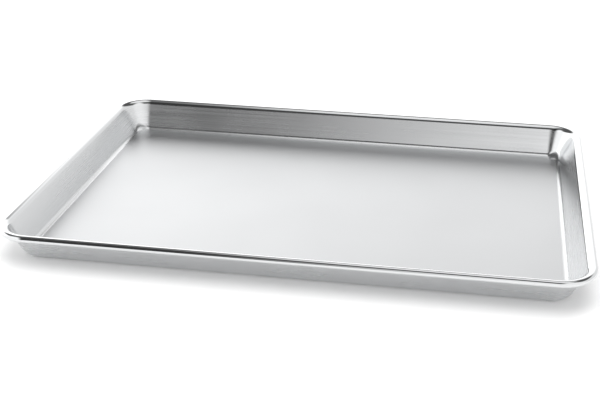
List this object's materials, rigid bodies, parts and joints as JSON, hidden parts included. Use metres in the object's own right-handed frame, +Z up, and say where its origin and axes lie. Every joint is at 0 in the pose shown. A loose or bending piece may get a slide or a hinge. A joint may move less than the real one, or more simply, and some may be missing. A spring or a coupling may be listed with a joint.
{
  "type": "jelly roll pan",
  "caption": "Shallow rectangular baking tray pressed from aluminium sheet, with sloped walls, full rounded corners and an edge rolled round a steel wire.",
  "frame": {"origin": "middle of the base, on the surface that the pan stands on", "axes": "+X along the long sides, +Y across the pan, +Z up out of the open side"},
  "size_m": [0.413, 0.286, 0.024],
  "materials": {
    "satin_aluminium": "satin, rolled sheet with drawn, burnished walls",
    "galvanised_wire": "galvanised"
  },
  "bodies": {
    "root": {"pan_body": "satin_aluminium", "rim_wire": "galvanised_wire"}
  },
  "joints": []
}
